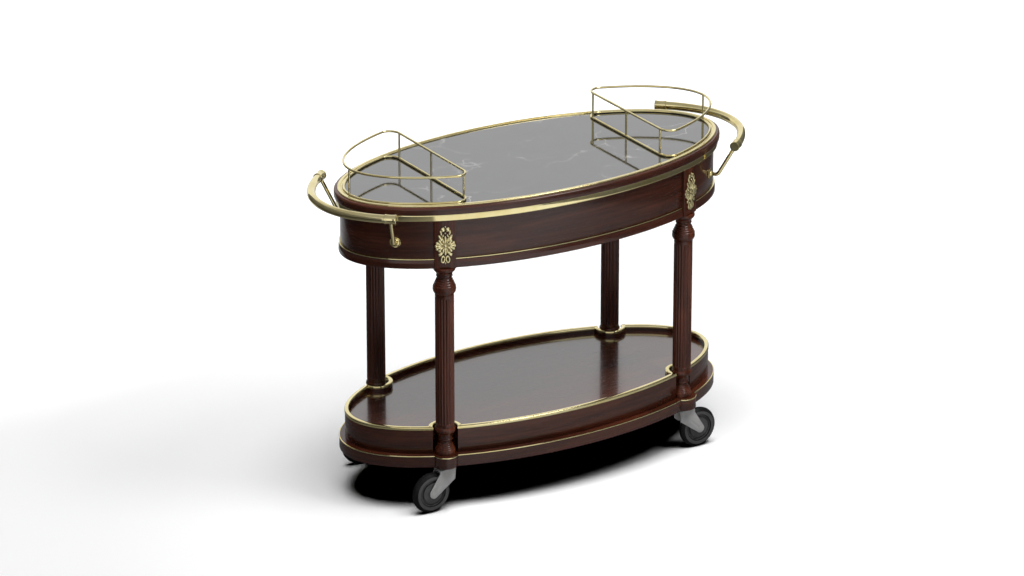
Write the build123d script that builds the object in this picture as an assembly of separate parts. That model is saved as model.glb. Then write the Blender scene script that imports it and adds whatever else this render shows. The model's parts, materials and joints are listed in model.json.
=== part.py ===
# Oval beverage cart: a stone-topped box on four fluted legs, over a railed tray on swivel casters.
# Millimetres, +Z up. The origin is on the floor under the middle, +X runs along the cart, the front faces -Y.
import os
from math import atan2, cos, degrees, radians, sin, sqrt

from build123d import *

# Plan of the ovals
apron_length = 1214.0
apron_width = 562.0
apron_thickness = 18.0
lip_overhang = 17.0
band_overhang = 12.0
band_thickness = 2.5
moulding_overhang = 5.5
bead_overhang = 4.5
rim_inset = 10.5
rim_width = 14.5
rim_lap = 7.0
tray_setback = 6.5
plinth_overhang = 17.0
oval_middle_angle = 49.0

# Heights, from the floor up
caster_height = 135.0
plinth_height = 36.0
tray_wall_height = 72.5
tray_rail_height = 9.0
turned_length = 571.0
apron_height = 145.0
band_height = 18.0
lip_thickness = 23.5
rim_height = 4.0

# Top
stone_thickness = 20.0
lip_round = 9.0
rim_bead_width = 3.8
rim_bead_drop = 1.2
rim_groove_width = 1.2
rim_base_height = 1.6

# Galleries
gallery_height = 84.0
gallery_rod = 7.0
gallery_post = 6.0
gallery_inner_x = 328.0
gallery_corner = 32.0
gallery_rim_gap = 0.4

# Apron trim
moulding_height = 26.0
bead_height = 3.0

# Stemware rack
rack_channels = 6
rack_pitch = 96.0
rack_length = 300.0
rack_stem_slot = 25.0
rack_spacer_width = 16.0
rack_spacer_height = 14.0
rack_strip_thickness = 6.0
rack_panel_thickness = 9.0
rack_lift = 6.0

# Legs
leg_angle = 47.8
leg_inset = 13.0
block_width = 62.0
block_face = 22.5
block_back = 31.0
block_edge = 1.5
tenon_radius = 13.0
tenon_length = 24.0
foot_radius = 30.2
foot_height = 11.0
bell_radius = 29.6
bell_height = 22.0
waist_radius = 20.2
waist_height = 8.0
waist_bead_radius = 22.5
waist_bead_height = 7.0
ankle_radius = 20.6
ankle_height = 18.0
ring_radius = 30.5
ring_bulge = 4.0
ring_height = 18.0
shaft_radius = 27.2
shoulder_height = 10.0
shoulder_bulge = 2.2
bulb_radius = 32.8
bulb_height = 19.0
throat_height = 19.0
neck_radius = 21.2
neck_height = 5.0
collar_ring_radius = 24.6
collar_ring_height = 8.0
flare_radius = 32.4
flare_height = 19.0
flare_lip = 2.0
bead_bulge = 1.5
cove_bulge = -1.5
flute_count = 20
flute_radius = 3.6
flute_depth = 1.8
flute_end_gap = 12.0

# Ornaments on the leg blocks
ornament_base = 2.6
ornament_relief = 4.2
ornament_boss = 5.5
ornament_half_height = 56.5
ornament_field_width = 20.0
ornament_field_height = 25.0
fan_radius = 25.4
fan_scallop = 4.8
fan_spread = 22.0
fan_ribs = 5
shoulder_leaf_length = 22.0
shoulder_leaf_width = 10.0
shoulder_leaf_rise = 13.0
shoulder_leaf_tilt = 50.0
scroll_width = 8.0
scroll_height = 14.0
scroll_middle = 36.0
scroll_spread = 5.5
drop_width = 6.8
drop_height = 13.5
drop_middle = -40.5
ornament_wire = 3.6
ornament_pip = 3.0
ornament_pip_length = 12.0
ornament_rib_share = 0.85
ornament_spine = 4.5
ornament_floret = 9.0

# Handles
handle_standoff = 80.0
handle_drop = 10.0
handle_tube = 25.0
collar_diameter = 29.0
collar_length = 34.0
collar_edge = 1.2
bracket_angle = 29.6
bracket_rod = 11.0
bracket_stub = 26.0
bracket_bend = 16.0
bracket_drop = 98.0
rosette_diameter = 31.0
rosette_height = 9.0
rosette_edge = 2.5
rosette_boss = 16.0
rosette_gap = 0.3

# Tray and plinth
tray_wall_thickness = 11.0
tray_ledge = 8.0
tray_depth = 18.0
tray_floor_thickness = 12.0
tray_rail_overhang = 1.0
tray_rail_edge = 3.0
tray_rail_steps = 3
niche_radius = 36.5
lobe_radius = 36.5
lobe_shift = 8.5
plinth_bead_width = 3.5
plinth_bead_proud = 1.2
plinth_bead_depth = 1.8
plinth_bead_drop = 0.0
plinth_cove_height = 5.0
plinth_cove_width = 6.0

# Casters
wheel_diameter = 121.0
wheel_trail = 49.0
tyre_width = 26.0
tyre_crown = 9.0
tyre_wall = 21.5
tyre_edge = 1.5
hub_disc_radius = 30.5
hub_disc_width = 23.0
hub_rim = 2.5
hub_rim_width = 20.0
hub_web = 12.0
hub_boss_radius = 11.0
fork_plate = 3.5
fork_side_gap = 2.5
fork_front = 23.0
fork_front_low = 19.5
fork_front_depth = 33.0
fork_rear = 28.5
fork_rear_depth = 10.0
fork_tip_radius = 13.0
fork_crown_thickness = 4.0
axle_radius = 4.0
axle_head_radius = 6.0
axle_head_height = 0.8
mount_plate_radius = 28.0
mount_plate_thickness = 3.0
race_radius = 19.0
race_height = 2.0
kingpin_radius = 6.0
kingpin_head_radius = 10.0
kingpin_head_height = 6.0

# Fits
glue_gap = 0.1
panel_gap = 0.5
slip_fit = 0.1
running_fit = 0.08
race_gap = 0.4
boss_gap = 0.5

# Worked out from the sizes above
apron_a = apron_length / 2
apron_b = apron_width / 2
plinth_z = caster_height
tray_z = plinth_z + plinth_height
rail_z = tray_z + tray_wall_height
rail_top_z = rail_z + tray_rail_height
tray_floor_z = rail_top_z - tray_depth
apron_z = tray_z + turned_length
band_z = apron_z + apron_height
lip_z = band_z + band_height
top_z = lip_z + lip_thickness
strip_z = apron_z + rack_lift
spacer_z = strip_z + rack_strip_thickness
rack_panel_z = spacer_z + rack_spacer_height
handle_z = top_z - handle_drop
rosette_z = handle_z - bracket_drop
corners = {
    "front_left": (-1, -1),
    "front_right": (1, -1),
    "back_left": (-1, 1),
    "back_right": (1, 1),
}
sides = {"left": -1, "right": 1}


# Points and directions on the apron's oval, in the quarter where x and y are positive
def apron_point(angle):
    return Vector(apron_a * cos(radians(angle)), apron_b * sin(radians(angle)))


def apron_normal(angle):
    return Vector(cos(radians(angle)) / apron_a, sin(radians(angle)) / apron_b).normalized()


def apron_heading(angle):
    # Along the oval, from the cart's back towards its end
    normal = apron_normal(angle)
    return Vector(normal.Y, -normal.X)


leg_normal = apron_normal(leg_angle)
leg_point = apron_point(leg_angle) - leg_normal * leg_inset
leg_x = leg_point.X
leg_y = leg_point.Y
kingpin_point = leg_point + leg_normal * lobe_shift


def at_leg(corner):
    # Moves a shape from the leg's own axis, face towards -Y, to a corner of the cart
    side_x, side_y = corners[corner]
    turn = degrees(atan2(side_x * leg_normal.X, -side_y * leg_normal.Y))
    return Pos(side_x * leg_x, side_y * leg_y) * Rot(0, 0, turn)


def corner_circles(point, radius):
    return [Pos(sx * point.X, sy * point.Y) * Circle(radius) for sx, sy in corners.values()]


def slab(sketch, bottom, height):
    return extrude(Pos(0, 0, bottom) * sketch, amount=height)


def oval_ring(outer, inner, bottom, height):
    return slab(grown_oval(outer) - grown_oval(inner), bottom, height)


def edges_at(shape, height):
    return shape.edges().filter_by_position(Axis.Z, height - 0.01, height + 0.01)


def block_boxes(clearance):
    # The leg blocks' outlines, for what stops against them
    depth = block_face + block_back + 2 * clearance
    outline = Pos(0, (block_back - block_face) / 2) * Rectangle(block_width + 2 * clearance, depth)
    prism = slab(outline, apron_z, apron_height)
    return [at_leg(corner) * prism for corner in corners]


def biarc(start, start_direction, end, end_direction):
    # Two tangent arcs between two points with given directions
    span = end - start
    total = start_direction + end_direction
    opening = 1 - start_direction.dot(end_direction)
    along = span.dot(total)
    reach = (sqrt(along**2 + 2 * opening * span.dot(span)) - along) / (2 * opening)
    middle = (start + end + (start_direction - end_direction) * reach) * 0.5
    first = TangentArc(start, middle, tangent=start_direction)
    return [first, TangentArc(middle, end, tangent=first % 1)]


def oval_arcs():
    # The apron's oval as tangent arcs that keep within a millimetre of an ellipse
    stops = (90, oval_middle_angle, bracket_angle, 0)
    quarter = []
    for start, end in zip(stops[:-1], stops[1:]):
        quarter += biarc(apron_point(start), apron_heading(start), apron_point(end), apron_heading(end))
    half = quarter + [edge.mirror(Plane.XZ) for edge in quarter]
    return half + [edge.mirror(Plane.YZ) for edge in half]


def grown_arc(arc, growth):
    centre = arc.arc_center
    stretch = 1 + growth / arc.radius
    return ThreePointArc(*[centre + (arc @ part - centre) * stretch for part in (0, 0.5, 1)])


apron_arcs = oval_arcs()


def grown_oval(growth):
    # The apron's oval, larger all round by the growth
    return make_face(Wire.combine([grown_arc(arc, growth) for arc in apron_arcs])[0])


def rod_along(path, diameter):
    section = Plane(path @ 0, z_dir=path % 0) * Circle(diameter / 2)
    return sweep(section, path=path)


# Top of the box
def top_board():
    lip = slab(grown_oval(lip_overhang), lip_z, lip_thickness)
    lip = fillet(lip.edges(), lip_round)
    core = slab(grown_oval(band_overhang - band_thickness - glue_gap), band_z, band_height)
    stone_seat = slab(grown_oval(stone_growth + panel_gap), top_z - stone_thickness, stone_thickness)
    return lip + core - stone_seat


rim_outer = lip_overhang - rim_inset
stone_growth = rim_outer - rim_width + rim_lap


def stone_top():
    return slab(grown_oval(stone_growth), top_z - stone_thickness, stone_thickness)


def stone_rim():
    # A broad outer step and a lower inner bead, with a narrow groove between them
    inner = rim_outer - rim_width
    bead_outer = inner + rim_bead_width
    broad_inner = bead_outer + rim_groove_width
    rim = oval_ring(rim_outer, broad_inner, top_z, rim_height)
    rim += oval_ring(bead_outer, inner, top_z, rim_height - rim_bead_drop)
    return rim + oval_ring(
        broad_inner + rim_groove_width, bead_outer - rim_groove_width, top_z, rim_base_height
    )


def fascia_band():
    return oval_ring(band_overhang, band_overhang - band_thickness, band_z, band_height)


# Wire galleries
gallery_growth = rim_outer - rim_width - gallery_rim_gap - gallery_rod / 2


def gallery_outline():
    # Closed path of a gallery rail on the right: straight side, rounded corners, oval end
    cart_end = Pos(gallery_inner_x + apron_a) * Rectangle(2 * apron_a, apron_width)
    outline = grown_oval(gallery_growth) & cart_end
    sharp_corners = outline.vertices().sort_by(Axis.X)[:2]
    return fillet(sharp_corners, gallery_corner).wire()


gallery_path = gallery_outline()


def gallery_rail(side, height):
    return turned_to(side) * rod_along(Pos(0, 0, height) * gallery_path, gallery_rod)


def turned_to(side):
    # The left half of the cart is the right half turned about the cart's middle
    return Rot(0, 0, 0 if side > 0 else 180)


gallery_base_z = top_z + gallery_rod / 2
gallery_top_z = top_z + gallery_height - gallery_rod / 2


def gallery_posts(side, rails):
    straight_half = gallery_path.edges().sort_by(Axis.X)[0].length / 2
    feet = [(gallery_inner_x, y) for y in (-straight_half, 0, straight_half)]
    feet.append((apron_a + gallery_growth, 0))
    post = Pos(0, 0, gallery_base_z) * Cylinder(
        gallery_post / 2,
        gallery_top_z - gallery_base_z,
        align=(Align.CENTER, Align.CENTER, Align.MIN),
    )
    posts = [turned_to(side) * Pos(x, y) * post for x, y in feet]
    return Compound([post - rails for post in posts])


# Apron
def between_blocks(ring):
    # Splits a ring at the leg blocks into its front, back, left and right pieces
    pieces = (ring - block_boxes(0)).solids()
    by_depth = pieces.sort_by(Axis.Y)
    by_length = pieces.sort_by(Axis.X)
    return {"front": by_depth[0], "back": by_depth[-1], "left": by_length[0], "right": by_length[-1]}


def apron_panels():
    return between_blocks(oval_ring(0, -apron_thickness, apron_z, apron_height))


def apron_mouldings():
    ring = oval_ring(moulding_overhang, glue_gap, apron_z, moulding_height)
    return Compound(list(between_blocks(ring).values()))


def apron_beads():
    ring = oval_ring(bead_overhang, glue_gap, apron_z + moulding_height, bead_height)
    return Compound(list(between_blocks(ring).values()))


# Stemware rack under the box
def rack_panel():
    panel = slab(grown_oval(-apron_thickness - panel_gap), rack_panel_z, rack_panel_thickness)
    return panel - block_boxes(panel_gap)


def rack_bars(width, bottom, height):
    bar = Pos(0, 0, bottom) * Box(
        width, rack_length, height, align=(Align.CENTER, Align.CENTER, Align.MIN)
    )
    first = -rack_channels * rack_pitch / 2
    return Compound([Pos(first + rack_pitch * i) * bar for i in range(rack_channels + 1)])


# Legs
def turned_profile():
    # Half of the turned part from the tenon up: radius, height and bulge of each stretch
    stretches = [
        (foot_radius, 0, 0),
        (foot_radius, foot_height, 0),
        (bell_radius, 0, 0),
        (waist_radius, bell_height, 0),
        (waist_radius, waist_height, 0),
        (waist_bead_radius - bead_bulge, 0, 0),
        (waist_bead_radius - bead_bulge, waist_bead_height, bead_bulge),
        (ankle_radius, 0, 0),
        (ring_radius - ring_bulge, ankle_height, cove_bulge),
        (ring_radius - ring_bulge, ring_height, ring_bulge),
        (shaft_radius, 0, 0),
        (shaft_radius, shaft_length, 0),
        (bulb_radius, shoulder_height, shoulder_bulge),
        (bulb_radius, bulb_height, 0),
        (neck_radius, throat_height, 0),
        (neck_radius, neck_height, 0),
        (collar_ring_radius - bead_bulge, 0, 0),
        (collar_ring_radius - bead_bulge, collar_ring_height, bead_bulge),
        (flare_radius, flare_height, cove_bulge),
        (flare_radius, flare_lip, 0),
        (0, 0, 0),
    ]
    points = [(0, -tenon_length), (tenon_radius, -tenon_length)]
    outline = [Line(*points)]
    radius, height = points[-1]
    for next_radius, rise, bulge in [(tenon_radius, tenon_length, 0)] + stretches:
        end = (next_radius, height + rise)
        if bulge:
            outline.append(SagittaArc((radius, height), end, -bulge))
        else:
            outline.append(Line((radius, height), end))
        radius, height = end
    outline.append(Line((0, height), points[0]))
    return Plane.XZ * make_face(outline)


fixed_turnings = (
    foot_height + bell_height + waist_height + waist_bead_height + ankle_height + ring_height
    + shoulder_height + bulb_height + throat_height + neck_height + collar_ring_height
    + flare_height + flare_lip
)
shaft_length = turned_length - fixed_turnings
shaft_z = foot_height + bell_height + waist_height + waist_bead_height + ankle_height + ring_height


def flutes():
    length = shaft_length - 2 * flute_end_gap
    cutter = Cylinder(flute_radius, length)
    for end in (-length / 2, length / 2):
        cutter += Pos(0, 0, end) * Sphere(flute_radius)
    middle = Pos(0, 0, shaft_z + shaft_length / 2)
    ring = PolarLocations(shaft_radius + flute_radius - flute_depth, flute_count)
    return [middle * place * cutter for place in ring]


def leg():
    turned = Pos(0, 0, tray_z) * (revolve(turned_profile(), Axis.Z) - flutes())
    block = Pos(0, (block_back - block_face) / 2, apron_z) * Box(
        block_width,
        block_face + block_back,
        apron_height,
        align=(Align.CENTER, Align.CENTER, Align.MIN),
    )
    front_edges = block.edges().filter_by(Axis.Z).sort_by(Axis.Y)[:2]
    return turned + chamfer(front_edges, block_edge)


# Cast ornaments: leaves, loops and a floret about an upright spine, drawn on the block's face
def leaf(length, width, x, z, turn):
    return Pos(x, z) * Rot(0, 0, turn) * Pos(length / 2) * Ellipse(length / 2, width / 2)


def wire_loop(half_width, half_height, x, z):
    outer = Ellipse(half_width, half_height)
    return Pos(x, z) * (outer - Ellipse(half_width - ornament_wire, half_height - ornament_wire))


def ornament_side(side):
    # Scalloped fan, two shoulder leaves, half of the scroll above and one drop below
    facing = 0 if side > 0 else 180
    flat = wire_loop(scroll_width, scroll_height, side * scroll_spread, scroll_middle)
    flat += wire_loop(drop_width, drop_height, side * (drop_width - ornament_wire / 2), drop_middle)
    ribs = []
    for i in range(fan_ribs):
        turn = facing + fan_spread * (i - (fan_ribs - 1) / 2)
        flat += Rot(0, 0, turn) * Pos(fan_radius) * Circle(fan_scallop)
        ribs.append(leaf(fan_radius + fan_scallop / 2, fan_scallop, 0, 0, turn))
    for rise in (-1, 1):
        start = rise * shoulder_leaf_rise
        turn = facing + side * rise * shoulder_leaf_tilt
        flat += leaf(shoulder_leaf_length, shoulder_leaf_width, 0, start, turn)
        ribs.append(leaf(shoulder_leaf_length * ornament_rib_share, shoulder_leaf_width / 2, 0, start, turn))
    return flat, ribs


def ornament():
    outline = Ellipse(ornament_field_width, ornament_field_height)
    outline += Ellipse(ornament_spine, scroll_middle)
    raised = Ellipse(ornament_spine / 2, scroll_middle * ornament_rib_share)
    for end in (-1, 1):
        pip_middle = end * (ornament_half_height - ornament_pip_length / 2)
        outline += Pos(0, pip_middle) * Ellipse(ornament_pip, ornament_pip_length / 2)
    for side in (-1, 1):
        flat, ribs = ornament_side(side)
        outline += flat
        raised += ribs
    face = Plane((0, -block_face, apron_z + apron_height / 2), x_dir=(1, 0, 0), z_dir=(0, -1, 0))
    casting = extrude(outline, amount=ornament_base) + extrude(raised, amount=ornament_relief)
    floret = Cylinder(ornament_floret, ornament_boss, align=(Align.CENTER, Align.CENTER, Align.MIN))
    floret = chamfer(floret.edges().sort_by(Axis.Z)[-1], ornament_boss / 3)
    return face * (casting + floret)


# Push handles
bracket_normal = apron_normal(bracket_angle)
bracket_tangent = Vector(bracket_normal.Y, -bracket_normal.X)
bracket_foot = apron_point(bracket_angle)
collar_middle = bracket_foot + bracket_normal * handle_standoff


def handle_bar():
    # Right handle: from the back collar round the cart's end to the front collar
    start = collar_middle + bracket_tangent * (collar_length / 2)
    tip = Vector(apron_a + handle_standoff, 0)
    back_half = biarc(start, bracket_tangent, tip, Vector(0, -1))
    front_half = [edge.mirror(Plane.XZ) for edge in back_half]
    path = Pos(0, 0, handle_z) * Wire(back_half + front_half)
    return rod_along(path, handle_tube)


def handle_collar():
    axis = Plane((collar_middle.X, collar_middle.Y, handle_z), z_dir=bracket_tangent)
    collar = Cylinder(collar_diameter / 2, collar_length)
    return axis * chamfer(collar.edges().filter_by(GeomType.CIRCLE), collar_edge)


def bracket_plane(distance, height):
    # A point out from the apron along the bracket, at a height above the rosette
    foot = bracket_foot + bracket_normal * distance
    return Vector(foot.X, foot.Y, rosette_z + height)


def handle_bracket(collar):
    path = FilletPolyline(
        bracket_plane(rosette_gap + rosette_height, 0),
        bracket_plane(bracket_stub, 0),
        bracket_plane(handle_standoff, bracket_drop),
        radius=bracket_bend,
    )
    return rod_along(path, bracket_rod) - collar


def handle_rosette():
    disc = Cylinder(rosette_diameter / 2, rosette_edge, align=(Align.CENTER, Align.CENTER, Align.MIN))
    dome = Pos(0, 0, rosette_edge) * Cone(
        (rosette_diameter / 2 + rosette_boss / 2) / 2,
        rosette_boss / 2,
        rosette_height - rosette_edge,
        align=(Align.CENTER, Align.CENTER, Align.MIN),
    )
    seat = bracket_plane(rosette_gap, 0)
    return Plane(seat, z_dir=bracket_normal) * (disc + dome)


def front_and_back(piece):
    return [piece.mirror(Plane.XZ), piece]


# Lower tray
def tray_outline(inset):
    return grown_oval(-tray_setback - inset) - corner_circles(leg_point, niche_radius + inset)


def tray_wall():
    ledge_height = tray_floor_z - tray_floor_thickness - tray_z
    full = slab(tray_outline(0), tray_z, tray_wall_height)
    inside = slab(tray_outline(tray_wall_thickness), tray_z, tray_wall_height)
    under_floor = slab(tray_outline(tray_wall_thickness + tray_ledge), tray_z, ledge_height)
    above = slab(tray_outline(tray_wall_thickness), tray_z + ledge_height, tray_wall_height)
    return full - (inside & (under_floor + above))


def rail_layer(shrink, bottom, height):
    outline = tray_outline(shrink - tray_rail_overhang) - tray_outline(tray_wall_thickness - shrink)
    return slab(outline, rail_z + bottom, height)


def tray_rail():
    # The rail's rounded top goes up in small steps along a quarter circle
    straight = tray_rail_height - tray_rail_edge
    rail = rail_layer(0, 0, straight)
    for i in range(tray_rail_steps):
        low = tray_rail_edge * i / tray_rail_steps
        high = tray_rail_edge * (i + 1) / tray_rail_steps
        shrink = tray_rail_edge - sqrt(tray_rail_edge**2 - ((low + high) / 2) ** 2)
        rail += rail_layer(shrink, straight + low, high - low)
    return rail


def tray_floor():
    outline = tray_outline(tray_wall_thickness + panel_gap)
    return slab(outline, tray_floor_z - tray_floor_thickness, tray_floor_thickness)


def plinth_outline(growth):
    lobes = corner_circles(kingpin_point, lobe_radius + growth)
    return grown_oval(plinth_overhang - tray_setback + growth) + lobes


plinth_bead_z = tray_z - plinth_bead_drop - plinth_bead_width


def plinth():
    board = slab(plinth_outline(0), plinth_z, plinth_height)
    groove_ring = plinth_outline(plinth_bead_proud) - plinth_outline(-plinth_bead_depth)
    groove = slab(groove_ring, plinth_bead_z, plinth_bead_width)
    cove = slab(grown_oval(plinth_cove_width - tray_setback), tray_z, plinth_cove_height)
    cove = fillet(edges_at(cove, tray_z + plinth_cove_height), plinth_cove_height - 1)
    cove -= slab(grown_oval(glue_gap - tray_setback), tray_z, plinth_cove_height)
    cove -= [slab(circle, tray_z, plinth_cove_height) for circle in corner_circles(leg_point, niche_radius)]
    tenon_holes = [
        slab(circle, tray_z - tenon_length, tenon_length)
        for circle in corner_circles(leg_point, tenon_radius + slip_fit)
    ]
    return board - groove + cove - tenon_holes


def plinth_bead():
    inner = plinth_outline(-plinth_bead_depth + glue_gap)
    return slab(plinth_outline(plinth_bead_proud) - inner, plinth_bead_z, plinth_bead_width)


# Casters, built about the kingpin with the wheel trailing towards -X
wheel_radius = wheel_diameter / 2
fork_inside = tyre_width / 2 + fork_side_gap
fork_outside = fork_inside + fork_plate
mount_plate_z = caster_height - mount_plate_thickness
upper_race_z = mount_plate_z - race_height
crown_top_z = upper_race_z - race_gap - race_height
crown_z = crown_top_z - fork_crown_thickness
axle_line = Pos(-wheel_trail, 0, wheel_radius) * Rot(90, 0, 0)


def caster_plate():
    plate = Cylinder(mount_plate_radius, mount_plate_thickness, align=(Align.CENTER, Align.CENTER, Align.MIN))
    race = Pos(0, 0, -race_height) * Cylinder(
        race_radius, race_height, align=(Align.CENTER, Align.CENTER, Align.MIN)
    )
    pin_length = mount_plate_z - (crown_z - race_gap)
    pin = Pos(0, 0, -pin_length) * Cylinder(
        kingpin_radius, pin_length, align=(Align.CENTER, Align.CENTER, Align.MIN)
    )
    head = Pos(0, 0, -pin_length - kingpin_head_height) * Cylinder(
        kingpin_head_radius, kingpin_head_height, align=(Align.CENTER, Align.CENTER, Align.MIN)
    )
    return Pos(0, 0, mount_plate_z) * (plate + race + pin + head)


def caster_fork():
    front_low = (fork_front_low, crown_top_z - fork_front_depth)
    rear_low = (-fork_rear, crown_top_z - fork_rear_depth)
    upper = Polyline(
        rear_low, (-fork_rear, crown_top_z), (fork_front, crown_top_z), front_low, close=True
    )
    tip = Pos(-wheel_trail, wheel_radius) * Circle(fork_tip_radius)
    lower = make_hull(Line(rear_low, front_low).edges() + tip.edges())
    cheek = make_face(upper) + lower
    cheek_plane = Plane.XZ.offset(-fork_outside)
    cheek_solid = extrude(cheek_plane * cheek, amount=fork_plate)
    fork = cheek_solid + cheek_solid.mirror(Plane.XZ)
    fork += Pos((fork_front - fork_rear) / 2, 0, crown_z) * Box(
        fork_front + fork_rear,
        2 * fork_inside,
        fork_crown_thickness,
        align=(Align.CENTER, Align.CENTER, Align.MIN),
    )
    fork += Pos(0, 0, crown_top_z) * Cylinder(
        race_radius, race_height, align=(Align.CENTER, Align.CENTER, Align.MIN)
    )
    fork -= Pos(0, 0, crown_z) * Cylinder(kingpin_radius + running_fit, 2 * caster_height)
    fork -= axle_line * Cylinder(axle_radius + running_fit / 2, 4 * fork_outside)
    return fork


def caster_axle():
    axle = Cylinder(axle_radius, 2 * fork_outside)
    for end in (-1, 1):
        head = Cylinder(axle_head_radius, axle_head_height)
        head = chamfer(head.edges().sort_by(Axis.Z)[0 if end < 0 else -1], axle_head_height / 2)
        axle += Pos(0, 0, end * (fork_outside + axle_head_height / 2)) * head
    return axle_line * axle


hub_radius = wheel_radius - tyre_wall


def caster_wheel():
    rim = Cylinder(hub_radius, hub_rim_width) - Cylinder(hub_radius - hub_rim, hub_rim_width)
    web = Cylinder(hub_radius - hub_rim / 2, hub_web) + Cylinder(hub_disc_radius, hub_disc_width)
    boss = Cylinder(hub_boss_radius, 2 * (fork_inside - boss_gap))
    return axle_line * (rim + web + boss - Cylinder(axle_radius + running_fit, 4 * fork_outside))


def caster_tyre():
    # Section: seat on the hub, flat sidewalls, crowned tread
    seat = hub_radius + glue_gap
    shoulder = wheel_radius - tyre_crown
    half = tyre_width / 2
    side = [(seat, half - tyre_edge), (seat + tyre_edge, half), (shoulder, half)]
    other_side = [(radius, -width) for radius, width in side]
    section = [
        Polyline(*side),
        ThreePointArc((shoulder, half), (wheel_radius, 0), (shoulder, -half)),
        Polyline(*other_side),
        Line(side[0], other_side[0]),
    ]
    return axle_line * revolve(Plane.XZ * make_face(section), Axis.Z)


# Every node of the cart by name
nodes = {
    "top_board": top_board(),
    "stone_top": stone_top(),
    "stone_rim": stone_rim(),
    "fascia_band": fascia_band(),
    "apron_mouldings": apron_mouldings(),
    "apron_beads": apron_beads(),
    "rack_panel": rack_panel(),
    "rack_spacers": rack_bars(rack_spacer_width, spacer_z, rack_spacer_height),
    "rack_strips": rack_bars(rack_pitch - rack_stem_slot, strip_z, rack_strip_thickness),
    "plinth": plinth(),
    "plinth_bead": plinth_bead(),
    "tray_wall": tray_wall(),
    "tray_rail": tray_rail(),
    "tray_floor": tray_floor(),
}

for name, panel in apron_panels().items():
    nodes[f"{name}_apron"] = panel

for name, side in sides.items():
    base_rail = gallery_rail(side, gallery_base_z)
    top_rail = gallery_rail(side, gallery_top_z)
    nodes[f"{name}_gallery_base_rail"] = base_rail
    nodes[f"{name}_gallery_top_rail"] = top_rail
    nodes[f"{name}_gallery_posts"] = gallery_posts(side, [base_rail, top_rail])

one_collar = handle_collar()
one_bracket = handle_bracket(one_collar)
one_bar = handle_bar()
rosettes = []
for name, side in sides.items():
    turn = turned_to(side)
    nodes[f"{name}_handle_bar"] = turn * one_bar
    nodes[f"{name}_handle_collars"] = Compound([turn * c for c in front_and_back(one_collar)])
    nodes[f"{name}_handle_brackets"] = Compound([turn * b for b in front_and_back(one_bracket)])
    rosettes += [turn * r for r in front_and_back(handle_rosette())]
nodes["handle_rosettes"] = Compound(rosettes)

one_leg = leg()
one_ornament = ornament()
caster_pieces = {
    "plate": caster_plate(),
    "fork": caster_fork(),
    "axle": caster_axle(),
    "wheel": caster_wheel(),
    "tyre": caster_tyre(),
}
for corner, (side_x, side_y) in corners.items():
    nodes[f"{corner}_leg"] = at_leg(corner) * one_leg
    nodes[f"{corner}_ornament"] = at_leg(corner) * one_ornament
    facing = Rot(0, 0, 0 if side_x < 0 else 180)
    kingpin = Pos(side_x * kingpin_point.X, side_y * kingpin_point.Y) * facing
    for piece, shape in caster_pieces.items():
        nodes[f"{corner}_caster_{piece}"] = kingpin * shape

os.makedirs("parts", exist_ok=True)
for name, shape in nodes.items():
    export_step(shape, f"parts/{name}.step")
print(len(nodes), "nodes; leg axis at", round(leg_x, 2), round(leg_y, 2), "top", round(top_z + rim_height, 2))
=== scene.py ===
import json
import math
import bmesh
import bpy
from mathutils import Matrix, Vector


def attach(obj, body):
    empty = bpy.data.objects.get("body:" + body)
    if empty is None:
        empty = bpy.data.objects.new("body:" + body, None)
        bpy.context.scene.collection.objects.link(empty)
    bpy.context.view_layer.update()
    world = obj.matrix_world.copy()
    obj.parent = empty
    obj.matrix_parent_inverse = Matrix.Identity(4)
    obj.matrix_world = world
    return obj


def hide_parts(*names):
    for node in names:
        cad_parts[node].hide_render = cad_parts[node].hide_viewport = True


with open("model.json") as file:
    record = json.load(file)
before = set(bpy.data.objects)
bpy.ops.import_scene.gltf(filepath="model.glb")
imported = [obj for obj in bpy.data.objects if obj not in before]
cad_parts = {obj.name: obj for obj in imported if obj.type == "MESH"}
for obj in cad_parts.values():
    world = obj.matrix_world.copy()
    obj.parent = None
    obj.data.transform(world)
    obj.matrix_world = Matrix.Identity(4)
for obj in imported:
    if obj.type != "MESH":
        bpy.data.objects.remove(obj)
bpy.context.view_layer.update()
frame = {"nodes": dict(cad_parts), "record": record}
nodes = frame["nodes"]
mm = 0.001
print("frame loaded:", len(nodes), "nodes")


# Shader sheets

class Signal:
    # an output socket that adds Math nodes when it is used in a sum
    def __init__(self, sheet, socket):
        self.sheet = sheet
        self.socket = socket

    def combine(self, operation, left, right):
        return self.sheet.add("ShaderNodeMath", {"operation": operation}, {0: left, 1: right})

    def __add__(self, other):
        return self.combine("ADD", self, other)

    def __radd__(self, other):
        return self.combine("ADD", other, self)

    def __sub__(self, other):
        return self.combine("SUBTRACT", self, other)

    def __rsub__(self, other):
        return self.combine("SUBTRACT", other, self)

    def __mul__(self, other):
        return self.combine("MULTIPLY", self, other)

    def __rmul__(self, other):
        return self.combine("MULTIPLY", other, self)

    def smaller(self, other):
        return self.combine("MINIMUM", self, other)

    def larger(self, other):
        return self.combine("MAXIMUM", self, other)

    def sibling(self, output):
        # another output of the same node
        return Signal(self.sheet, self.socket.node.outputs[output])


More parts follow.
